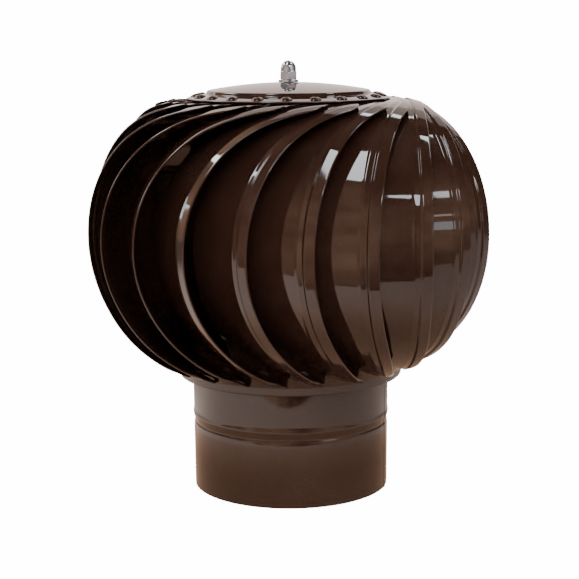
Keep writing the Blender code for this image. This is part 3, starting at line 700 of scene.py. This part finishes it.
outer_side, inner_side = blade_sides()
both = np.stack([outer_side, inner_side[:, ::-1]])
blade_turns = first_turn - set_angle + 2 * math.pi * np.arange(blade_count) / blade_count
for number, angle in enumerate(blade_turns, start=1):
    name = "blade_%02d" % number
    finished(name + "_sheet", skin(name + "_sheet", turned_to(both, angle)), "rotor",
             chocolate, [name], crease=60)

# The rivets: domed blind rivets, painted with the rest, one at each end of every blade. Each
# head is a shallow dome with the stub of its broken mandrel in the middle.
rivet_radius, rivet_rise = 4.7 * mm, 1.7 * mm
rivet_sunk, rivet_rim_rise = 0.3 * mm, 0.15 * mm
mandrel_hole = [(1.35, 0.0), (1.15, 0.7), (0.95, 0.7), (0.85, 0.25), (0.0, 0.2)]
upright = np.array([0.0, 0.0, 1.0])


def rivet_heads(name, spots, normals):
    """Turns the head's profile about each normal: a dome, the mandrel's hole and its stub."""
    lift = np.linspace(0, 1, 9)
    dome_radius = rivet_radius * np.sqrt(1 - lift * 0.90)
    dome_height = rivet_rim_rise + (rivet_rise - rivet_rim_rise) * lift ** 0.75
    profile = [(rivet_radius * 0.96, -rivet_sunk), *zip(dome_radius, dome_height)]
    profile += [(out * mm, rivet_rise - down * mm) for out, down in mandrel_hole]
    profile = np.array(profile)[::-1]
    around = 2 * math.pi * np.arange(24)[None, None, :, None] / 24
    normals = normals / np.linalg.norm(normals, axis=-1, keepdims=True)
    side = np.cross(normals, upright)
    side /= np.linalg.norm(side, axis=-1, keepdims=True)
    over = np.cross(normals, side)
    spoke = np.cos(around) * side[:, None, None] + np.sin(around) * over[:, None, None]
    points = (spots[:, None, None] + profile[None, :, None, :1] * spoke
              + profile[None, :, None, 1:] * normals[:, None, None])
    finished(name, skin(name, points, closed=True), "rotor", chocolate)


def outward(turns):
    """The level unit vectors at some turns about Z."""
    return np.stack([np.cos(turns), np.sin(turns), 0 * turns], axis=-1)


band_slope = np.array([band_height, -band_flare])
band_slope /= np.linalg.norm(band_slope)
foot_drop = 2.8 * mm
foot_height = ring_high - foot_drop
foot_radius = band_top_radius - foot_drop * band_flare / band_height + blade_sheet + seat_clearance
foot_out = outward(blade_turns + math.radians(38.7))
rivet_heads("bottom_rivets", foot_out * foot_radius + upright * foot_height,
            foot_out * band_slope[0] + upright * band_slope[1])

# The top disc: 1 mm sheet pressed to a shallow dome, a step down and a sloped rim. It covers
# the blades' upper ends, and its bolt hole takes the shaft.
disc_sheet = 1.0 * mm
disc_corner = 0.8 * mm
bolt_hole_radius = 4.15 * mm
dome_fall = 6 * mm
step_width, step_run, step_rise, rim_start_drop = 3.5 * mm, 1.3 * mm, 0.2 * mm, 0.1 * mm
disc_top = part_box("top_disc")[1].z
rim_edge_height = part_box("top_disc")[0].z + disc_sheet
rim_inner_radius = disc_radius - rim_width
rim_inner_height = rim_edge_height + rim_fall
dome_radius = rim_inner_radius - step_width
dome_out = np.linspace(bolt_hole_radius, dome_radius, 26)
disc_line = [(r, disc_top - dome_fall * (r / dome_radius) ** 2) for r in dome_out]
disc_line += [(dome_radius + step_run, rim_inner_height + step_rise),
              (rim_inner_radius, rim_inner_height - rim_start_drop),
              (disc_radius, rim_edge_height)]
section = bent_sheet(spaced(rounded(disc_line, disc_corner), 3 * mm), disc_sheet)
turned_sheet("top_disc_sheet", section, 240, "rotor", chocolate, ["top_disc"])
top_rivet_radius = 74 * mm
top_rivet_height = rim_edge_height + rim_slope * (disc_radius - top_rivet_radius)
top_out = outward(blade_turns + math.radians(84.1))
rivet_heads("top_rivets", top_out * top_rivet_radius + upright * top_rivet_height,
            top_out * rim_slope + upright)

# The top washer and the cap nut: an M8 washer and a domed nut in bright zinc, which clamp the
# disc to the shaft. The nut is a hexagon with chamfered corners under a round dome.
washer_bore, washer_chamfer = 4.2 * mm, 0.2 * mm
washer_low, washer_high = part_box("top_washer")
washer_radius = washer_high.x
section = np.array([(washer_bore, washer_high.z), (washer_radius - washer_chamfer, washer_high.z),
                    (washer_radius, washer_high.z - washer_chamfer),
                    (washer_radius, washer_low.z + washer_chamfer),
                    (washer_radius - washer_chamfer, washer_low.z), (washer_bore, washer_low.z)])
turned_sheet("top_washer_plate", section, 96, "rotor", bright_zinc,
             ["top_washer"], crease=30)

# The nut's chamfers are radii in millimetres, and how far in from its end each of them lies.
nut_low, nut_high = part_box("cap_nut")
nut_flats = 13 * mm
nut_height = 6.5 * mm
thread_radius, thread_mouth_radius, thread_depth = 4.1 * mm, 4.2 * mm, 5 * mm
dome_base, dome_foot_rise = 6.2 * mm, 0.1 * mm
chamfer_top = [(6.3, 0.0), (6.8, 0.15), (7.15, 0.4), (7.6, 0.75)]
chamfer_bottom = [(7.6, 0.75), (7.15, 0.4), (6.8, 0.15), (6.4, 0.0)]
nut_top = nut_low.z + nut_height
arc = np.linspace(math.pi / 2, 0, 15)
dome = np.stack([dome_base * np.cos(arc), nut_high.z - dome_base + dome_base * np.sin(arc)],
                axis=-1)
upper = [(dome_base, nut_top + dome_foot_rise)]
upper += [(out * mm, nut_top - down * mm) for out, down in chamfer_top]
lower = [(out * mm, nut_low.z + up * mm) for out, up in chamfer_bottom]
lower += [(thread_mouth_radius, nut_low.z), (thread_radius, nut_low.z + thread_depth),
          (0.0, nut_low.z + thread_depth)]
profile = np.vstack([dome, upper, lower])
radius, turn = swept_round(profile, 96)
hexagon = nut_flats / 2 / np.cos((turn + math.pi / 2) % (math.pi / 3) - math.pi / 6)
radius = np.minimum(radius, hexagon)
finished("cap_nut_domed", skin("cap_nut_domed", on_circle(radius, turn, profile[:, 1:]),
                               closed=True),
         "rotor", bright_zinc, ["cap_nut"], crease=25)
